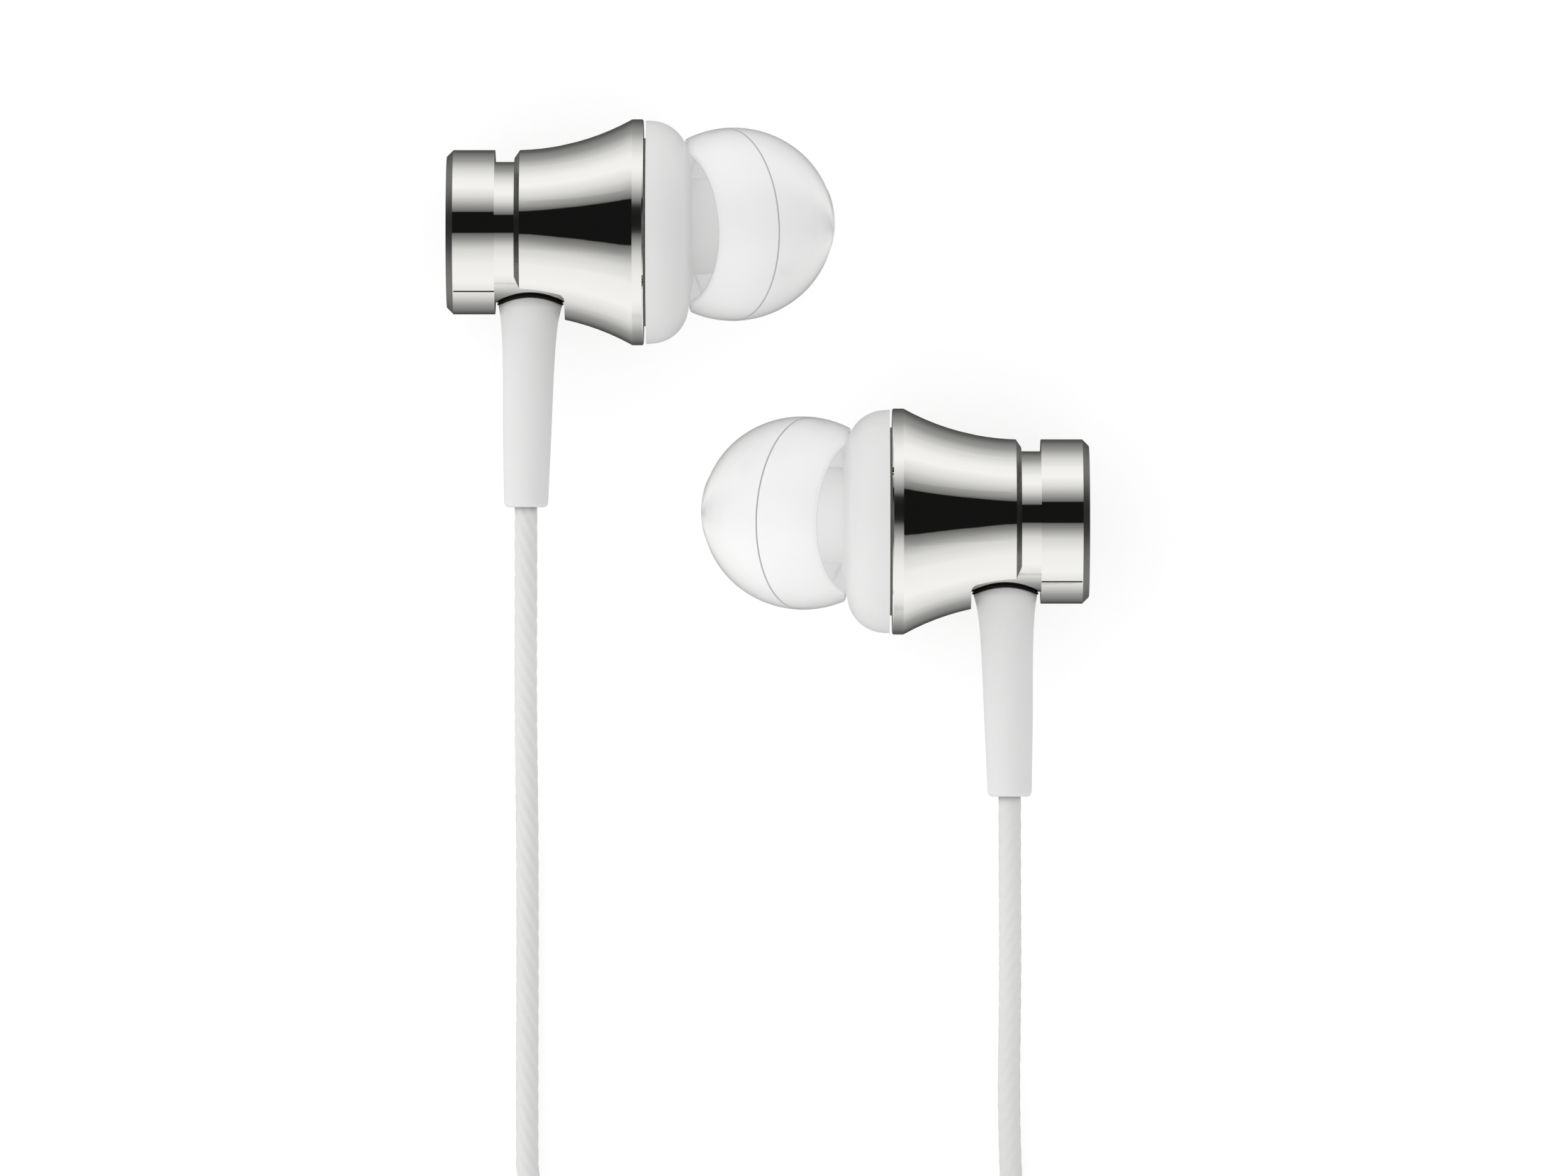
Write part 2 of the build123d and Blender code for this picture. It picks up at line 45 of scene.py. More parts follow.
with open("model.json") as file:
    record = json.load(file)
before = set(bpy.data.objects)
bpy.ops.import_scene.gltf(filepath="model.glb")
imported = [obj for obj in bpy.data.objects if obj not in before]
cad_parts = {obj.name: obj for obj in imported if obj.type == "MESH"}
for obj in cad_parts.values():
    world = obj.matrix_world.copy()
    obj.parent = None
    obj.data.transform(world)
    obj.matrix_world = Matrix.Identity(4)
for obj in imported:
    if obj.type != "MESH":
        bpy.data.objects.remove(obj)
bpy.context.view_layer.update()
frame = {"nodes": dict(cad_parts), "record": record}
MM = 0.001
SIDES = {"left": 1, "right": -1}
MOUNTS = {mount["name"]: mount for mount in frame["record"]["mounts"]}


# ---------------------------------------------------------------- settings


class StageSettings(bpy.types.PropertyGroup):
    picture_width: bpy.props.FloatProperty(
        name="Picture width", description="Width of the view at the earpieces",
        default=99.2 * MM, unit="LENGTH")
    camera_distance: bpy.props.FloatProperty(
        name="Camera distance", description="From the camera to the earpieces' axes",
        default=1.0, unit="LENGTH")
    floor_colour: bpy.props.FloatVectorProperty(
        name="Floor", description="Colour of the surface", default=(0.92, 0.92, 0.92), subtype="COLOR")


class EarpieceSettings(bpy.types.PropertyGroup):
    metal_colour: bpy.props.FloatVectorProperty(
        name="Metal", description="Colour of the polished metal",
        default=(0.985, 0.98, 0.965), subtype="COLOR")
    plastic_colour: bpy.props.FloatVectorProperty(
        name="Plastic", description="Colour of the white plastic",
        default=(0.76, 0.76, 0.757), subtype="COLOR")
    silicone_colour: bpy.props.FloatVectorProperty(
        name="Silicone", description="Colour of the ear tips", default=(0.93, 0.93, 0.928), subtype="COLOR")
    tip_radius: bpy.props.FloatProperty(
        name="Tip radius", description="Widest radius of the ear tip", default=6.12 * MM, unit="LENGTH")
    seam_depth: bpy.props.FloatProperty(
        name="Seam depth", description="Depth of the moulding line round the tip",
        default=0.12 * MM, unit="LENGTH")


class CordSettings(bpy.types.PropertyGroup):
    diameter: bpy.props.FloatProperty(
        name="Cord diameter", description="Diameter over the ribs", default=1.45 * MM, unit="LENGTH")
    rib_depth: bpy.props.FloatProperty(
        name="Rib depth", description="Depth of the grooves between the ribs",
        default=0.055 * MM, unit="LENGTH")
    rib_lead: bpy.props.FloatProperty(
        name="Rib lead", description="Length of one full twist of a rib", default=8.6 * MM, unit="LENGTH")
    rib_count: bpy.props.IntProperty(name="Ribs", description="Ribs round the cord", default=7)
    colour: bpy.props.FloatVectorProperty(
        name="Cord", description="Colour of the cord's jacket", default=(0.73, 0.73, 0.725), subtype="COLOR")


# ---------------------------------------------------------------- node helpers


def new_material(name):
    material = bpy.data.materials.get(name) or bpy.data.materials.new(name)
    material.use_nodes = True
    return material, material.node_tree, material.node_tree.nodes["Principled BSDF"]


def place(tree, kind, **values):
    """Adds a node and sets its sockets by name, or its properties where no socket has that name."""
    node = tree.nodes.new(kind)
    for key, value in values.items():
        if key in node.inputs:
            node.inputs[key].default_value = value
        else:
            setattr(node, key, value)
    return node


def colour_mix(tree, first, second):
    """A mix of two colours, with its factor, first colour and result sockets."""
    node = place(tree, "ShaderNodeMix", data_type="RGBA")
    sockets = {socket.identifier: socket for socket in (*node.inputs, *node.outputs)}
    sockets["A_Color"].default_value = (*first, 1)
    sockets["B_Color"].default_value = (*second, 1)
    return sockets["Factor_Float"], sockets["A_Color"], sockets["Result_Color"]


def surface_group():
    """Fine unevenness that every finish shares: a mask, a roughness and a normal."""
    group = bpy.data.node_groups.new("Fine surface", "ShaderNodeTree")
    sockets = group.interface
    sockets.new_socket("Scale", in_out="INPUT", socket_type="NodeSocketFloat").default_value = 900
    sockets.new_socket("Roughness", in_out="INPUT", socket_type="NodeSocketFloat").default_value = 0.3
    sockets.new_socket("Variation", in_out="INPUT", socket_type="NodeSocketFloat").default_value = 0.05
    sockets.new_socket("Bump", in_out="INPUT", socket_type="NodeSocketFloat").default_value = 0.05
    sockets.new_socket("Mask", in_out="OUTPUT", socket_type="NodeSocketFloat")
    sockets.new_socket("Roughness", in_out="OUTPUT", socket_type="NodeSocketFloat")
    sockets.new_socket("Normal", in_out="OUTPUT", socket_type="NodeSocketVector")
    entry = place(group, "NodeGroupInput")
    leave = place(group, "NodeGroupOutput")
    where = place(group, "ShaderNodeTexCoord")
    coarse = place(group, "ShaderNodeTexNoise", Detail=4.0)
    shifted = place(group, "ShaderNodeMath", operation="SUBTRACT")
    shifted.inputs[1].default_value = 0.5
    amount = place(group, "ShaderNodeMath", operation="MULTIPLY_ADD")
    bump = place(group, "ShaderNodeBump", Distance=0.02 * MM)
    link = group.links.new
    link(where.outputs["Object"], coarse.inputs["Vector"])
    link(entry.outputs["Scale"], coarse.inputs["Scale"])
    link(coarse.outputs["Fac"], shifted.inputs[0])
    link(shifted.outputs[0], amount.inputs[0])
    link(entry.outputs["Variation"], amount.inputs[1])
    link(entry.outputs["Roughness"], amount.inputs[2])
    link(entry.outputs["Bump"], bump.inputs["Strength"])
    link(coarse.outputs["Fac"], bump.inputs["Height"])
    link(coarse.outputs["Fac"], leave.inputs["Mask"])
    link(amount.outputs[0], leave.inputs["Roughness"])
    link(bump.outputs["Normal"], leave.inputs["Normal"])
    return group


def finish_material(name, colour, roughness, scale=900, variation=0.05, bump=0.05, tint=0.04, **sockets):
    """A principled finish whose colour, roughness and normal vary finely over the surface."""
    _, tree, shader = new_material(name)
    group = place(tree, "ShaderNodeGroup", node_tree=bpy.data.node_groups["Fine surface"])
    for key, value in (("Scale", scale), ("Roughness", roughness), ("Variation", variation), ("Bump", bump)):
        group.inputs[key].default_value = value
    link = tree.links.new
    shader.inputs["Base Color"].default_value = (*colour, 1)
    shader.inputs["Roughness"].default_value = roughness
    if tint:
        factor, _, result = colour_mix(tree, [channel * (1 - tint) for channel in colour],
                                       [min(1, channel * (1 + tint)) for channel in colour])
        link(group.outputs["Mask"], factor)
        link(result, shader.inputs["Base Color"])
    if variation:
        link(group.outputs["Roughness"], shader.inputs["Roughness"])
    if bump:
        link(group.outputs["Normal"], shader.inputs["Normal"])
    for key, value in sockets.items():
        shader.inputs[key.replace("_", " ")].default_value = value


def make_materials():
    """Every finish, as its colour, its roughness and what differs from the usual."""
    surface_group()
    ear = bpy.context.scene.earpiece_settings
    cord = bpy.context.scene.cord_settings
    metal = dict(Metallic=1.0)
    silicone = dict(Transmission_Weight=0.2, IOR=1.41, Coat_Weight=0.9, Coat_Roughness=0.2)
    finishes = {
        "polished_metal": (ear.metal_colour, 0.015, dict(scale=300, variation=0, bump=0, tint=0.01, **metal)),
        "satin_rim": (ear.metal_colour, 0.16, dict(variation=0.02, bump=0, tint=0.01, **metal)),
        # Dark metal for the rear bevels of caps and housings: painted shade along those edges.
        "shaded_edge": ((0.2, 0.2, 0.2), 0.35, dict(variation=0.02, bump=0, tint=0.01, **metal)),
        # Mid grey for the ear tips' moulding groove: painted shade, since the tip throws no diffuse shade into
        # it.
        "seam_shade": ((0.5, 0.5, 0.5), 0.5, {}),
        # Near-black without gloss: painted shade on the rings round the boots' seats, and the caps' fine joint
        # lines.
        "dark_line": ((0.015, 0.015, 0.015), 0.9, dict(bump=0, Specular_IOR_Level=0.0)),
        "white_plastic": (ear.plastic_colour, 0.38, dict(scale=2500, bump=0.04, tint=0.008)),
        "silicone": (ear.silicone_colour, 0.34,
                     dict(scale=700, variation=0.03, bump=0.01, tint=0.005, **silicone)),
        "soft_boot": (ear.plastic_colour, 0.5, dict(scale=3000, bump=0.08, tint=0.01)),
        "cord_jacket": (cord.colour, 0.42, dict(scale=3000, bump=0.05, tint=0.015)),
        "tie_rubber": ((0.6, 0.6, 0.59), 0.55, dict(scale=2500, bump=0.2)),
        "steel_mesh": ((0.45, 0.45, 0.45), 0.35, metal),
        "damper_foam": ((0.06, 0.06, 0.065), 0.9, dict(scale=4000, bump=0.6)),
        "plated_steel": ((0.62, 0.61, 0.59), 0.3, dict(bump=0.1, **metal)),
        "magnet": ((0.5, 0.5, 0.52), 0.22, metal),
        "driver_plastic": ((0.03, 0.03, 0.03), 0.45, {}),
        "driver_film": ((0.72, 0.68, 0.58), 0.2, {}),
        "enamelled_wire": ((0.72, 0.33, 0.16), 0.28, metal),
        "circuit_board": ((0.03, 0.16, 0.07), 0.35, dict(scale=1500, tint=0.2)),
        "gold_contact": ((0.86, 0.66, 0.32), 0.12, dict(bump=0.03, **metal)),
        "insulator_plastic": ((0.05, 0.05, 0.05), 0.4, {}),
    }
    for name, (colour, roughness, more) in finishes.items():
        finish_material(name, colour, roughness, **more)


def dress(piece, slot):
    """Gives a piece or a carried-over node the finish of its slot."""
    piece.data.materials.clear()
    piece.data.materials.append(bpy.data.materials[slot])


# ---------------------------------------------------------------- mesh helpers


def mesh_object(name, vertices, faces, smooth=True):
    mesh = bpy.data.meshes.new(name)
    mesh.from_pydata([tuple(vertex) for vertex in vertices], [], faces)
    mesh.update()
    if smooth:
        mesh.polygons.foreach_set("use_smooth", [True] * len(mesh.polygons))
    piece = bpy.data.objects.new(name, mesh)
    bpy.context.scene.collection.objects.link(piece)
    return piece


def fix_normals(piece):
    """Turns the faces outwards."""
    mesh = bmesh.new()
    mesh.from_mesh(piece.data)
    bmesh.ops.recalc_face_normals(mesh, faces=mesh.faces)
    mesh.to_mesh(piece.data)
    mesh.free()


def ring_mesh(name, rings, closed=False):
    """A surface through rings of points of equal count; the first and last are capped or joined."""
    around = len(rings[0])
    faces = []
    for ring in range(len(rings) if closed else len(rings) - 1):
        ahead = (ring + 1) % len(rings)
        for step in range(around):
            after = (step + 1) % around
            faces.append((ring * around + step, ring * around + after,
                          ahead * around + after, ahead * around + step))
    if not closed:
        faces.append(tuple(reversed(range(around))))
        faces.append(tuple(range((len(rings) - 1) * around, len(rings) * around)))
    piece = mesh_object(name, [point for ring in rings for point in ring], faces)
    fix_normals(piece)
    return piece


def finish_piece(piece, body, slot, *nodes):
    """Dresses a piece in its slot's finish when it has none, hangs it on the body that it rides on and hides
    the nodes that it stands for.
    """
    if not piece.data.materials:
        dress(piece, slot)
    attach(piece, body)
    if nodes:
        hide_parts(*nodes)
    return piece


# ---------------------------------------------------------------- cords


def route_point(x, y, z):
    return Vector((x * MM, y * MM, z * MM))


# The routes are in millimetres, as the solid cords have them.
LOW = 0.725             # height of a cord's centre where it lies on the surface
AXIS = 7.711            # height of the earpieces' axes
SEAM = 2.4              # height of the pod's cords
GRIP = 2.6              # height of the plug's axis
LEFT_END = 21.425       # where the left boot ends, along Y
RIGHT_END = 3.125
COIL_CENTRE = (0.0, 68.0)
COLUMN_RADII = (12.75, 14.2, 15.65, 17.1, 18.55)
ROW_STEP = 1.4
TURN_POINTS = 16
SCATTER = 0.05          # how far a turn strays from its neat place
PATH_STEP = 0.5 * MM


def slot_place(column, row):
    """Radius and height of one place in the wound section."""
    return COLUMN_RADII[column], LOW + ROW_STEP * row


def coil_points(stations, start_angle, rng):
    """Control points of the coil's turns: stations are (turns made, radius, height), joined evenly."""
    points = []
    bulge = math.cos(math.pi / TURN_POINTS) ** 0.5
    total = stations[-1][0]
    count = int(round(total * TURN_POINTS))
    for step in range(count + 1):
        made = total * step / count
        for before, after in zip(stations, stations[1:]):
            if made <= after[0] + 1e-9:
                share = (made - before[0]) / (after[0] - before[0])
                share = share * share * (3 - 2 * share)
                radius = before[1] + (after[1] - before[1]) * share
                height = before[2] + (after[2] - before[2]) * share
                break
        angle = math.radians(start_angle) - 2 * math.pi * made
        radius = radius / bulge + rng.uniform(-SCATTER, SCATTER)
        points.append(route_point(COIL_CENTRE[0] + radius * math.cos(angle),
                                  COIL_CENTRE[1] + radius * math.sin(angle),
                                  height + rng.uniform(0, SCATTER)))
    return points


def turns_through(slots, hold=0.8):
    """Stations that keep to each slot for most of a turn, then pass smoothly to the next."""
    stations = []
    for index, (column, row) in enumerate(slots):
        radius, height = slot_place(column, row)
        stations += [(index, radius, height), (index + hold, radius, height)]
    return stations


def smooth_path(name, points, spacing):
    """Evenly spaced points along the cord's NURBS spline."""
    curve = bpy.data.curves.new(name + "_line", "CURVE")
    curve.dimensions = "3D"
    curve.resolution_u = 10
    spline = curve.splines.new("NURBS")
    spline.points.add(len(points) - 1)
    for spot, point in zip(spline.points, points):
        spot.co = (*point, 1)
    spline.order_u = 3
    spline.use_endpoint_u = True
    holder = bpy.data.objects.new(name + "_line", curve)
    bpy.context.scene.collection.objects.link(holder)
    line = [vertex.co.copy() for vertex in bpy.data.meshes.new_from_object(holder).vertices]
    bpy.data.objects.remove(holder)
    lengths = [0.0]
    for before, after in zip(line, line[1:]):
        lengths.append(lengths[-1] + (after - before).length)
    count = max(2, int(lengths[-1] / spacing))
    even, index = [], 0
    for step in range(count + 1):
        target = lengths[-1] * step / count
        while index < len(lengths) - 2 and lengths[index + 1] < target:
            index += 1
        share = (target - lengths[index]) / (lengths[index + 1] - lengths[index])
        even.append(line[index].lerp(line[index + 1], min(1, share)))
    return even, lengths[-1]


def ribbed_tube(name, path, hand):
    """A mesh tube whose ribs wind round it like a fine screw; its vertex rows follow the ribs."""
    settings = bpy.context.scene.cord_settings
    per_rib = 4
    around = settings.rib_count * per_rib
    middle = settings.diameter / 2 - settings.rib_depth / 2
    vertices, faces = [], []
    across = Vector((0, 0, 1)).cross(path[1] - path[0]).normalized()
    run = 0.0
    for index, centre in enumerate(path):
        ahead = path[min(index + 1, len(path) - 1)] - path[max(index - 1, 0)]
        ahead.normalize()
        across = (across - ahead * across.dot(ahead)).normalized()
        other = ahead.cross(across)
        if index:
            run += (centre - path[index - 1]).length
        twist = hand * 2 * math.pi * run / settings.rib_lead
        for step in range(around):
            angle = 2 * math.pi * step / around + twist
            lobe = abs(math.sin(math.pi * step / per_rib)) ** 0.7 - 0.5
            radius = middle + lobe * settings.rib_depth
            vertices.append(centre + across * math.cos(angle) * radius + other * math.sin(angle) * radius)
    for ring in range(len(path) - 1):
        for step in range(around):
            after = (step + 1) % around
            faces.append((ring * around + step, ring * around + after,
                          (ring + 1) * around + after, (ring + 1) * around + step))
    faces.append(tuple(reversed(range(around))))
    faces.append(tuple(range((len(path) - 1) * around, len(path) * around)))
    return mesh_object(name, vertices, faces)


def whole_route(lead_in, turns, lead_out):
    return [route_point(*point) for point in lead_in] + turns + [route_point(*point) for point in lead_out]


def branch_route(side, rng):
    """One branch: out of its boot, down to the surface, round the coil and out to the pod."""
    if side == "left":
        lead_in = [(-15.3, LEFT_END, AXIS), (-15.3, LEFT_END + 5, AXIS), (-15.4, LEFT_END + 12, 3.2),
                   (-15.3, LEFT_END + 21, LOW), (-15.8, LEFT_END + 31, 1.6)]
        stations = [(0, 18.5, 5.0)] + [(made + 0.25, *slot_place(4, row)) for made, row in
                                       ((0, 2), (0.5, 2), (1, 1), (1.5, 1), (2, 0), (2.7, 0))]
        start_angle = 196
        lead_out = [(-20.0, 75.6, LOW), (-20.2, 85.0, LOW), (-18.3, 91.0, 1.3), (-13.7, 94.35, SEAM),
                    (-9.5, 94.35, SEAM)]
    else:
        lead_in = [(15.3, RIGHT_END, AXIS), (15.3, RIGHT_END + 5, AXIS), (15.4, RIGHT_END + 12.5, 3.2),
                   (15.3, RIGHT_END + 22.5, LOW), (15.35, RIGHT_END + 39.4, LOW), (15.3, 47.2, 1.6),
                   (11.5, 51.2, 4.2)]
        stations = [(0, 17.1, 5.1)] + [(made + 0.2, *slot_place(3, row)) for made, row in
                                       ((0, 2), (0.6, 2), (1, 1), (1.6, 1), (2, 0), (2.9, 0))]
        start_angle = -72
        lead_out = [(-18.2, 75.4, LOW), (-18.45, 83.5, LOW), (-16.9, 89.4, 1.3), (-13.3, 92.65, SEAM),
                    (-9.5, 92.65, SEAM)]
    return whole_route(lead_in, coil_points(stations, start_angle, rng), lead_out)


def main_route(rng):
    """The main cord: from the pod over and into the coil, round it, and out to the plug."""
    lead_in = [(12.5, 93.5, SEAM), (16.4, 93.5, SEAM), (19.9, 90.2, 1.3), (20.8, 84.0, LOW),
               (19.6, 75.2, 3.0)]
    slots = [(0, 0), (1, 0), (2, 0), (2, 1), (1, 1), (0, 1), (0, 2), (1, 2)]
    wound = [(made + 0.55, radius, height) for made, radius, height in turns_through(slots)[1:]]
    stations = ([(0, 17.6, 5.2), (0.2, 13.6, 5.0), (0.34, 11.4, 3.2), (0.6, 12.3, 0.9)]
                + wound[1:-1] + [(8.5, 18.6, 5.1)])
    lead_out = [(-21.6, 76.5, 2.0), (-22.1, 88.5, LOW), (-20.6, 97.6, 1.4), (-15.9, 101.3, GRIP),
                (-11.5, 101.3, GRIP)]
    return whole_route(lead_in, coil_points(stations, 6, rng), lead_out)


class OBJECT_OT_earphone_cords(bpy.types.Operator):
    """The two branch cords and the main cord, wound in one coil"""
    bl_idname = "object.earphone_cords"
    bl_label = "Cords"

    def execute(self, context):
        rng = random.Random(7)
        pod = [frame["nodes"][name] for name in (
            "pod_upper_shell", "pod_lower_shell", "pod_button", "pod_inlet_boot", "pod_outlet_boot",
            "pod_board", "pod_switch", "pod_microphone")]
        plug = [frame["nodes"][name] for name in (
            "plug_boot", "plug_grip", "plug_sleeve", "plug_ring_1", "plug_ring_2", "plug_tip",
            "plug_insulator", "plug_core")] + [bpy.data.objects["coil_strap"]]
        cords = (
            ("left_branch", branch_route("left", rng), 1,
             ("left_branch_cord", "left_pod_cord"), "fitting", pod),
            ("right_branch", branch_route("right", rng), -1,
             ("right_branch_cord", "right_pod_cord"), "fitting", pod),
            ("main_cord", main_route(rng), 1,
             ("main_pod_cord", "plug_cord", "cord_coil"), "plug", plug),
        )
        for name, points, hand, nodes, far_end, pieces in cords:
            path, length = smooth_path(name, points, PATH_STEP)
            tube = ribbed_tube(name, path, hand)
            finish_piece(tube, "earphones", "cord_jacket", *nodes)
            print(name, "length", round(length, 4))
        return {"FINISHED"}


# ---------------------------------------------------------------- stage


def tone_ramp(tree):
    """The studio that polished metal mirrors, by the angle about the housings' long axis."""
    tones = ((-180, 0.04), (-155, 0.1), (-125, 0.32), (-100, 0.72), (-75, 0.91), (-45, 0.86), (-25, 0.67),
             (-10, 0.27), (-2.6, 0.14), (-1.8, 0.007), (27.2, 0.007), (28, 0.14), (38, 0.37), (50, 0.7),
             (65, 0.92), (80, 0.88), (100, 0.64), (120, 0.31), (150, 0.11), (180, 0.04))
    ramp = tree.nodes.new("ShaderNodeValToRGB")
    stops = ramp.color_ramp.elements
    while len(stops) < len(tones):
        stops.new(0.5)
    for stop, (angle, tone) in zip(stops, tones):
        stop.position = (angle + 180) / 360
        stop.color = (tone * 1.0, tone * 0.998, tone * 0.98, 1)
    return ramp


def set_range(node, *values):
    for key, value in zip(("From Min", "From Max", "To Min", "To Max"), values):
        node.inputs[key].default_value = value


def make_world():
    """Plain soft light for everything, and for mirror images a studio of tones about the X axis.

    The dark band spreads where the flare turns its mirror image sideways, and the studio's ends are dim.
    """
    world = bpy.data.worlds.new("Studio")
    bpy.context.scene.world = world
    world.use_nodes = True
    world.cycles.sampling_method = "NONE"
    tree = world.node_tree
    tree.nodes.clear()
    link = tree.links.new
    where = place(tree, "ShaderNodeTexCoord")
    split = place(tree, "ShaderNodeSeparateXYZ")
    flipped = place(tree, "ShaderNodeMath", operation="MULTIPLY")
    flipped.inputs[1].default_value = -1
    lifted = place(tree, "ShaderNodeMath", operation="ADD")
    lifted.inputs[1].default_value = 1
    angle = place(tree, "ShaderNodeMath", operation="ARCTAN2")
    lower = place(tree, "ShaderNodeMapRange")
    set_range(lower, 0.05, -0.02, math.radians(-4), math.radians(7.5))
    widen = place(tree, "ShaderNodeMath", operation="MULTIPLY_ADD")
    share = place(tree, "ShaderNodeMath", operation="MULTIPLY_ADD")
    share.inputs[1].default_value = 1 / math.pi
    share.inputs[2].default_value = 0.5
    ramp = tone_ramp(tree)
    sideways = place(tree, "ShaderNodeMath", operation="ABSOLUTE")
    fade = place(tree, "ShaderNodeMapRange", interpolation_type="SMOOTHSTEP")
    set_range(fade, 0.97, 0.995, 0.0, 1.0)
    end_share, studio, shown = colour_mix(tree, (0.5, 0.5, 0.5), (0.12, 0.12, 0.118))
    mirrored = place(tree, "ShaderNodeBackground", Strength=1.0)
    lean = place(tree, "ShaderNodeVectorMath", operation="DOT_PRODUCT")
    lean.inputs[1].default_value = (0.3, 0.0, 0.0)
    bright = place(tree, "ShaderNodeMath", operation="ADD")
    bright.inputs[1].default_value = 1.0
    room = place(tree, "ShaderNodeBackground", Color=(1, 1, 1, 1))
    path = place(tree, "ShaderNodeLightPath")
    choose = place(tree, "ShaderNodeMixShader")
    output = place(tree, "ShaderNodeOutputWorld")
    link(where.outputs["Generated"], split.inputs[0])
    link(where.outputs["Generated"], lean.inputs[0])
    link(lean.outputs["Value"], bright.inputs[0])
    link(bright.outputs[0], room.inputs["Strength"])
    link(split.outputs["Y"], flipped.inputs[0])
    link(flipped.outputs[0], angle.inputs[0])
    link(split.outputs["Z"], lifted.inputs[0])
    link(lifted.outputs[0], angle.inputs[1])
    link(angle.outputs[0], lower.inputs["Value"])
    link(lower.outputs[0], widen.inputs[0])
    link(sideways.outputs[0], widen.inputs[1])
    link(angle.outputs[0], widen.inputs[2])
    link(widen.outputs[0], share.inputs[0])
    link(share.outputs[0], ramp.inputs[0])
    link(split.outputs["X"], sideways.inputs[0])
    link(sideways.outputs[0], fade.inputs["Value"])
    link(fade.outputs[0], end_share)
    link(ramp.outputs["Color"], studio)
    link(shown, mirrored.inputs["Color"])
    link(path.outputs["Is Glossy Ray"], choose.inputs[0])
    link(room.outputs[0], choose.inputs[1])
    link(mirrored.outputs[0], choose.inputs[2])
    link(choose.outputs[0], output.inputs["Surface"])


FLOOR_HALF = 3.0
FLOOR_DROP = 0.02 * MM
FLOOR_GLOW = 0.66
FLOOR_SHARE = 0.5       # how much of its colour the surface shows by the light that falls on it
PICTURE_MIDDLE = (-1.02 * MM, 8.23 * MM)


class OBJECT_OT_earphone_stage(bpy.types.Operator):
    """The pale surface, the soft studio and the camera"""
    bl_idname = "object.earphone_stage"
    bl_label = "Stage"

    def execute(self, context):
        settings = context.scene.stage_settings
        make_world()
        context.scene.view_settings.view_transform = "Standard"
        corners = [(x * FLOOR_HALF, y * FLOOR_HALF, 0) for x, y in ((-1, -1), (1, -1), (1, 1), (-1, 1))]
        floor = mesh_object("floor", corners, [(0, 1, 2, 3)], smooth=False)
        floor.location.z = -FLOOR_DROP
        floor.visible_glossy = False
        material, _, shader = new_material("pale_surface")
        shade = [FLOOR_SHARE * channel for channel in settings.floor_colour]
        shader.inputs["Base Color"].default_value = (*shade, 1)
        shader.inputs["Roughness"].default_value = 0.9
        shader.inputs["Specular IOR Level"].default_value = 0.0
        shader.inputs["Emission Color"].default_value = (*settings.floor_colour, 1)
        shader.inputs["Emission Strength"].default_value = FLOOR_GLOW
        floor.data.materials.append(material)
        low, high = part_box("left_rear_cap")
        middle = Vector((*PICTURE_MIDDLE, (low.z + high.z) / 2))
        camera = bpy.data.cameras.new("camera")
        camera.sensor_width = 36
        camera.lens = camera.sensor_width * settings.camera_distance / settings.picture_width
        holder = bpy.data.objects.new("camera", camera)
        holder.location = middle + Vector((0, 0, settings.camera_distance))
        holder.rotation_euler = (0, 0, math.pi)
        context.scene.collection.objects.link(holder)
        context.scene.camera = holder
        return {"FINISHED"}


# ---------------------------------------------------------------- earpieces


# The tip's outline, in millimetres along its axis from its widest place.
TIP_HALF_LENGTH = 6.45      # of the ellipsoid that its skin follows
TIP_SKIRT = 3.74
TIP_FRONT = 6.03
TIP_MIDDLE = 3.01           # its widest place, from the nozzle's root
NOZZLE_LENGTH = 6.2
SEAM_PLACE, SEAM_HALF_WIDTH = -0.17, 0.045
SKIN_THICKNESS = 0.6
RIM_HALF_THICKNESS = 0.11
SLEEVE_RADIUS = 3.05
BORE = 2.61                 # round the nozzle
CANAL = 1.9                 # where the sound comes out
SHELL_GAP = 0.05
TIP_COLUMNS = 160


def ellipse(radius, half_length, along):
    return radius * (1 - (along / half_length) ** 2) ** 0.5


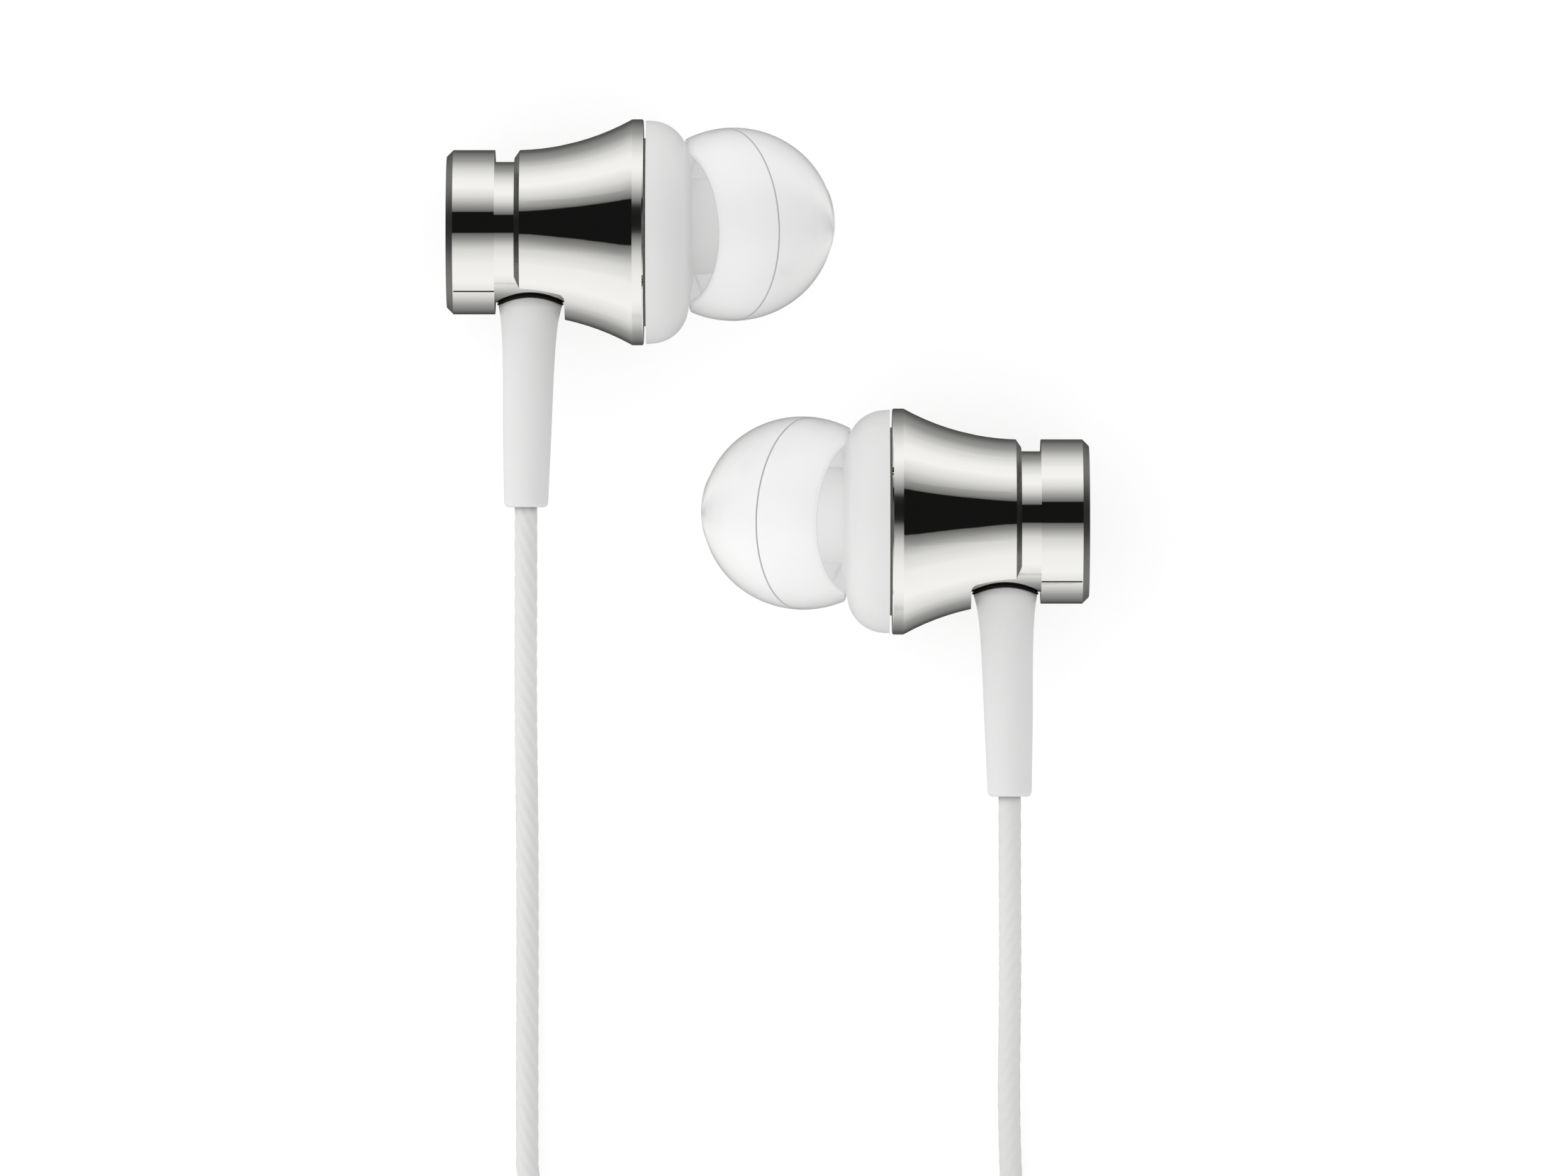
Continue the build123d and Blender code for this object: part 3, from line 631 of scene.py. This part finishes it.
def tip_profile(settings):
    """Outline of the ear tip as (distance from the widest place, radius): along its skin, then back inside."""
    radius = settings.tip_radius / MM

    def outside(along):
        return ellipse(radius, TIP_HALF_LENGTH, along)

    rim = outside(-TIP_SKIRT) - 0.16
    points = [(-TIP_SKIRT - 0.06, rim), (-TIP_SKIRT - 0.02, rim + RIM_HALF_THICKNESS)]
    seam_start, seam_end, rear = SEAM_PLACE - 0.12, SEAM_PLACE + 0.12, 0.1 - TIP_SKIRT
    behind = [rear + (seam_start - rear) * i / 16 for i in range(17)]
    ahead = [seam_end + (TIP_FRONT - 0.45 - seam_end) * math.sin(math.pi / 2 * i / 26) for i in range(27)]
    points += [(along, outside(along)) for along in (*behind, SEAM_PLACE - SEAM_HALF_WIDTH)]
    points += [(SEAM_PLACE, outside(SEAM_PLACE) - settings.seam_depth / MM)]
    points += [(along, outside(along)) for along in (SEAM_PLACE + SEAM_HALF_WIDTH, *ahead)]
    edge = outside(TIP_FRONT - 0.45)
    points += [(TIP_FRONT - 0.2, edge - 0.28), (TIP_FRONT - 0.05, edge - 0.55), (TIP_FRONT, edge - 0.8),
               (TIP_FRONT, 2.2), (TIP_FRONT - 0.06, 2.0), (TIP_FRONT - 0.2, 1.92), (3.4, CANAL), (3.3, 1.95),
               (3.3, BORE), (-0.95, BORE), (-1.0, 2.7), (-1.0, 2.95), (-0.92, SLEEVE_RADIUS)]
    points += [(-0.92 + (3.6 + 0.92) * i / 6, SLEEVE_RADIUS) for i in range(1, 7)]
    points += [(4.0, 3.2), (4.15, 3.5)]
    for i in range(1, 19):
        along = 4.15 - (4.15 + TIP_SKIRT - 0.05) * i / 18
        if along > 0:
            inside = (radius - SKIN_THICKNESS) * (1 - (along / 5.35) ** 2.3) ** 0.5
        else:
            inside = outside(along) - SKIN_THICKNESS + 0.28 * (along / -TIP_SKIRT)
        points.append((along, max(3.5, inside)))
    points += [(-TIP_SKIRT - 0.04, rim - RIM_HALF_THICKNESS)]
    return points


def make_tip(side):
    """The ear tip: turned about the nozzle, with its skirt shortened where it bears on the front shell."""
    settings = bpy.context.scene.earpiece_settings
    seat = MOUNTS[side + "_tip_seat"]
    axis = Vector(seat["axis"]).normalized()
    middle = Vector(seat["pos_m"]) - axis * (NOZZLE_LENGTH * MM - TIP_MIDDLE * MM)
    across = axis.cross(Vector((0, 1, 0))).normalized()
    other = axis.cross(across)
    profile = [(along * MM, radius * MM) for along, radius in tip_profile(settings)]
    shell = frame["nodes"][side + "_front_shell"].data
    tree = BVHTree.FromPolygons([v.co for v in shell.vertices], [p.vertices[:] for p in shell.polygons])

    def outside(along):
        return ellipse(settings.tip_radius, TIP_HALF_LENGTH * MM, along)

    def in_skirt(along, radius):
        return along < 0 and radius >= 3.3 * MM

    def shortened(along, radius, scale):
        if in_skirt(along, radius):
            return along * scale, radius - outside(along) + outside(along * scale)
        return along, radius

    def inside(point):
        spot, normal, _, distance = tree.find_nearest(point)
        return (point - spot).dot(normal) < 0 or distance < SHELL_GAP * MM

    directions, scales = [], []
    skirt = [(along, radius) for along, radius in profile if along < -0.2 * MM and radius > 3.3 * MM]
    for column in range(TIP_COLUMNS):
        angle = 2 * math.pi * column / TIP_COLUMNS
        outward = across * math.cos(angle) + other * math.sin(angle)
        scale = 1.0
        while scale > 0.05 and any(inside(middle + axis * along + outward * radius) for along, radius in
                                   (shortened(*point, scale) for point in skirt)):
            scale -= 0.005
        directions.append(outward)
        scales.append(scale)

    def spread(values, combine):
        """Combines each column's value with those of the columns beside it."""
        return [combine([values[(column + shift) % TIP_COLUMNS] for shift in (-1, 0, 1)])
                for column in range(TIP_COLUMNS)]

    scales = spread(spread(scales, min), lambda near: sum(near) / 3)
    rings = [[middle + axis * along + outward * radius for along, radius in
              (shortened(*point, scale) for point in profile)] for outward, scale in zip(directions, scales)]
    tip = ring_mesh(side + "_silicone_tip", rings, closed=True)
    tip.visible_diffuse = False
    # Painted shade: the groove's faces take the darker seam_shade finish, as diffuse light passes through the
    # tip.
    groove = {index for index, (along, radius) in enumerate(profile)
              if abs(along - SEAM_PLACE * MM) < 0.06 * MM and radius > 5 * MM}
    dress(tip, "silicone")
    tip.data.materials.append(bpy.data.materials["seam_shade"])
    for face in tip.data.polygons:
        if {index % len(profile) for index in face.vertices} <= groove:
            face.material_index = 1
    return finish_piece(tip, side + "_tip", "silicone", side + "_ear_tip")


class OBJECT_OT_earphone_tips(bpy.types.Operator):
    """The two silicone ear tips"""
    bl_idname = "object.earphone_tips"
    bl_label = "Ear tips"

    def execute(self, context):
        for side in SIDES:
            make_tip(side)
        return {"FINISHED"}


def axis_line(side):
    """Centre of the cap's rear face, and the way the earpiece points."""
    way = SIDES[side]
    low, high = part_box(side + "_rear_cap")
    rear = low.x if way > 0 else high.x
    return Vector((rear, (low.y + high.y) / 2, (low.z + high.z) / 2)), way


# The boot, in millimetres: each section's distance from the earpiece's axis, its radius and how far it leans
# forward of its station, which is measured from the cap's rear face.
BOOT_SECTIONS = ((4.2, 2.1, 0.3), (5.8, 1.8, 0.22), (8.5, 1.63, 0.16), (12.4, 1.54, 0.08), (17.4, 1.39, 0))
BOOT_STATION = 5.0
BOOT_SEAT = 4.58
BOOT_END = BOOT_SECTIONS[-1][0]
BOOT_ROUND = 0.32           # at its end
BOOT_EASE = 0.08            # at its seat
BOOT_BORE = (0.8, 0.72)     # at its end, and deeper in
BOOT_BORE_DEPTH = 0.6
STEM_RADIUS = 1.7
SHADE_RING_LIP = 0.07
CAP_RADIUS = 5.2
CAP_LINE = (46.6, 47.8)     # degrees from the top
CAP_LINE_ENDS = (0.46, 3.04)
CAP_LINE_LIFT = 0.004


def boot_section(reach):
    """Radius and lean of the boot at a distance from the axis, smoothly between its sections."""
    for index in range(len(BOOT_SECTIONS) - 1):
        start, end = BOOT_SECTIONS[index], BOOT_SECTIONS[index + 1]
        if reach <= end[0]:
            break
    before = BOOT_SECTIONS[max(index - 1, 0)]
    after = BOOT_SECTIONS[min(index + 2, len(BOOT_SECTIONS) - 1)]
    span = end[0] - start[0]
    share = (reach - start[0]) / span
    found = []
    for part in (1, 2):
        slope_in = (end[part] - before[part]) / (end[0] - before[0]) * span
        slope_out = (after[part] - start[part]) / (after[0] - start[0]) * span
        found.append((2 * share**3 - 3 * share**2 + 1) * start[part]
                     + (share**3 - 2 * share**2 + share) * slope_in
                     + (3 * share**2 - 2 * share**3) * end[part]
                     + (share**3 - share**2) * slope_out)
    return found


def boot_ring(origin, way, reach, radius, lean, saddle=None):
    """A ring round the boot's line, flat or, with a saddle's radius, curved to fit a round neck."""
    points = []
    for step in range(64):
        angle = 2 * math.pi * step / 64
        across, height = radius * math.cos(angle), radius * math.sin(angle)
        out = reach if saddle is None else (saddle**2 - height**2) ** 0.5
        points.append(origin + Vector((way * (BOOT_STATION + lean + across), out, height)) * MM)
    return points


def make_boot(side):
    """The cord boot, with a saddle at the metal and a rounded end, on a near-black ring of painted shade."""
    origin, way = axis_line(side)
    seat_radius, seat_lean = boot_section(BOOT_SEAT)
    seat = ((1.0, 0), (seat_radius - BOOT_EASE, 0), (seat_radius, BOOT_EASE))
    rings = [boot_ring(origin, way, 0, radius, seat_lean, BOOT_SEAT + drop) for radius, drop in seat]
    body_start, body_end = BOOT_SEAT + 0.2, BOOT_END - BOOT_ROUND
    for step in range(28):
        reach = body_start + (body_end - body_start) * step / 27
        radius, lean = boot_section(reach)
        rings.append(boot_ring(origin, way, reach, radius, lean))
    for step in range(1, 7):
        turn = math.pi / 2 * step / 6
        rings.append(boot_ring(origin, way, body_end + BOOT_ROUND * math.sin(turn),
                               radius - BOOT_ROUND * (1 - math.cos(turn)), lean))
    rings += [boot_ring(origin, way, reach, radius, lean)
              for reach, radius in zip((BOOT_END, BOOT_END - BOOT_BORE_DEPTH), BOOT_BORE)]
    boot = ring_mesh(side + "_cord_boot", rings)
    boot.visible_glossy = False
    finish_piece(boot, "earphones", "soft_boot", side + "_strain_relief")
    # Painted shade: a near-black ring round the boot's seat stands for the shadow in the crevice between the
    # boot and the metal.
    lip = seat_radius + SHADE_RING_LIP
    section = ((STEM_RADIUS, 4.3), (seat_radius - 0.1, 4.4), (lip, 4.5), (lip, 4.62), (STEM_RADIUS, 4.62))
    painted_shade_ring = ring_mesh(side + "_boot_painted_shade_ring", [boot_ring(origin, way, 0, radius, seat_lean, saddle)
                                               for radius, saddle in section], closed=True)
    dress(painted_shade_ring, "dark_line")
    finish_piece(painted_shade_ring, "earphones", "insulator_plastic")


def make_cap_seam(side):
    """The fine joint line along the cap's side."""
    origin, way = axis_line(side)
    sunk, raised = CAP_RADIUS - 0.01, CAP_RADIUS + CAP_LINE_LIFT
    corners = ((CAP_LINE[0], sunk), (CAP_LINE[0], raised), (CAP_LINE[1], raised), (CAP_LINE[1], sunk))
    rings = [[origin + Vector((way * station, radius * math.sin(math.radians(turn)),
                               radius * math.cos(math.radians(turn)))) * MM for turn, radius in corners]
             for station in CAP_LINE_ENDS]
    seam = ring_mesh(side + "_cap_seam", rings)
    dress(seam, "dark_line")
    finish_piece(seam, "earphones", "insulator_plastic")


STRAP_THICKNESS = 0.45 * MM
STRAP_CORNER = 1.4 * MM
STRAP_ROUND = 0.14 * MM
STRAP_RIB = 0.05 * MM
STRAP_STEPS = 160


def strap_place(low, high, run):
    """Where a strap round a box is after a run from its lower edge: (leg, spot, way out) as Y and Z."""
    corner = STRAP_CORNER
    across, down = high.y - low.y - 2 * corner, high.z - low.z - 2 * corner
    legs = ((across, (low.y + corner, high.z), (1, 0)), (down, (high.y, high.z - corner), (0, -1)),
            (across, (high.y - corner, low.z), (-1, 0)), (down, (low.y, low.z + corner), (0, 1)))
    arc = math.pi / 2 * corner
    for leg, (long, start, heading) in enumerate(legs):
        out = Vector((-heading[1], heading[0]))
        if run <= long:
            return leg, Vector((start[0] + heading[0] * run, start[1] + heading[1] * run)), out
        run -= long
        if run <= arc:
            centre = Vector((start[0] + heading[0] * long, start[1] + heading[1] * long)) - out * corner
            cosine, sine = math.cos(run / corner), math.sin(run / corner)
            out = Vector((out.x * cosine + out.y * sine, out.y * cosine - out.x * sine))
            return leg, centre + out * corner, out
        run -= arc


def make_strap():
    """The rubber strap round the coil: a band with rounded edges and corners and fine ribs on top."""
    low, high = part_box("cord_tie")
    half_width = (high.x - low.x) / 2
    around = 2 * (high.y - low.y + high.z - low.z - 4 * STRAP_CORNER) + 2 * math.pi * STRAP_CORNER
    side, edge = half_width - STRAP_ROUND, half_width
    rings = []
    for index in range(STRAP_STEPS):
        leg, spot, out = strap_place(low, high, around * index / STRAP_STEPS)
        rib = STRAP_RIB * (1 + math.cos(2 * math.pi * index / 4)) / 2 if leg == 0 else 0
        inner, outer = -STRAP_THICKNESS, -0.02 * MM - rib
        section = ((-edge, inner + STRAP_ROUND), (-side, inner), (side, inner), (edge, inner + STRAP_ROUND),
                   (edge, outer - STRAP_ROUND), (side, outer), (-side, outer), (-edge, outer - STRAP_ROUND))
        rings.append([Vector((across, spot.x + out.x * depth, spot.y + out.y * depth))
                      for across, depth in section])
    finish_piece(ring_mesh("coil_strap", rings, closed=True), "earphones", "tie_rubber", "cord_tie")


class OBJECT_OT_earphone_boots(bpy.types.Operator):
    """The cord boots with their rings of painted shade, and the fine joint lines of the caps"""
    bl_idname = "object.earphone_boots"
    bl_label = "Boots and cap lines"

    def execute(self, context):
        for side in SIDES:
            make_boot(side)
            make_cap_seam(side)
        return {"FINISHED"}


class OBJECT_OT_earphone_strap(bpy.types.Operator):
    """The strap that holds the coil together"""
    bl_idname = "object.earphone_strap"
    bl_label = "Strap"

    def execute(self, context):
        make_strap()
        return {"FINISHED"}


CAP_BEVEL = 0.42 * MM       # depth of the cap's shaded rear edge
HOUSING_BEVEL = 0.34 * MM
RIM_BAND = 0.72 * MM        # length of the housing's flat rim


class OBJECT_OT_earphone_finishes(bpy.types.Operator):
    """Gives every carried-over node the finish of its slot"""
    bl_idname = "object.earphone_finishes"
    bl_label = "Finishes"

    def execute(self, context):
        make_materials()
        for entry in frame["record"]["subparts"]:
            dress(frame["nodes"][entry["node"]], entry["material_slot"])
        for side, way in SIDES.items():
            housing = frame["nodes"][side + "_metal_housing"]
            housing.data.materials.append(bpy.data.materials["satin_rim"])
            housing.data.materials.append(bpy.data.materials["shaded_edge"])
            cap = frame["nodes"][side + "_rear_cap"]
            cap.data.materials.append(bpy.data.materials["shaded_edge"])
            rear = min(way * vertex.co.x for vertex in cap.data.vertices)
            # Painted shade: the cap's rear bevel takes the dark shaded_edge finish.
            for face in cap.data.polygons:
                if way * face.center.x < rear + CAP_BEVEL and -0.95 < way * face.normal.x < -0.3:
                    face.material_index = 1
            stations = [way * vertex.co.x for vertex in housing.data.vertices]
            rear, front = min(stations), max(stations)
            for face in housing.data.polygons:
                if way * face.center.x > front - RIM_BAND and abs(face.normal.x) < 0.1:
                    face.material_index = 1
                # Painted shade: the housing's rear bevel, by the gap to the cap, takes the dark shaded_edge
                # finish.
                if way * face.center.x < rear + HOUSING_BEVEL and way * face.normal.x < -0.3:
                    face.material_index = 2
        return {"FINISHED"}


# ---------------------------------------------------------------- panel and registration


class VIEW3D_PT_earphones(bpy.types.Panel):
    bl_label = "Earphones"
    bl_space_type = "VIEW_3D"
    bl_region_type = "UI"
    bl_category = "Earphones"

    def draw(self, context):
        for operator in OPERATORS:
            self.layout.operator(operator.bl_idname)


SETTINGS = {
    "stage_settings": StageSettings,
    "earpiece_settings": EarpieceSettings,
    "cord_settings": CordSettings,
}
OPERATORS = (OBJECT_OT_earphone_finishes, OBJECT_OT_earphone_stage, OBJECT_OT_earphone_strap,
             OBJECT_OT_earphone_cords, OBJECT_OT_earphone_tips, OBJECT_OT_earphone_boots)


def register():
    for settings in SETTINGS.values():
        bpy.utils.register_class(settings)
    for name, settings in SETTINGS.items():
        setattr(bpy.types.Scene, name, bpy.props.PointerProperty(type=settings))
    for item in (*OPERATORS, VIEW3D_PT_earphones):
        bpy.utils.register_class(item)


def unregister():
    for item in (*reversed(OPERATORS), VIEW3D_PT_earphones):
        bpy.utils.unregister_class(item)
    for name, settings in SETTINGS.items():
        delattr(bpy.types.Scene, name)
        bpy.utils.unregister_class(settings)


def main():
    """Builds everything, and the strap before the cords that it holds."""
    register()
    bpy.ops.object.earphone_finishes()
    bpy.ops.object.earphone_stage()
    bpy.ops.object.earphone_strap()
    bpy.ops.object.earphone_cords()
    bpy.ops.object.earphone_tips()
    bpy.ops.object.earphone_boots()


if __name__ == "__main__":
    main()
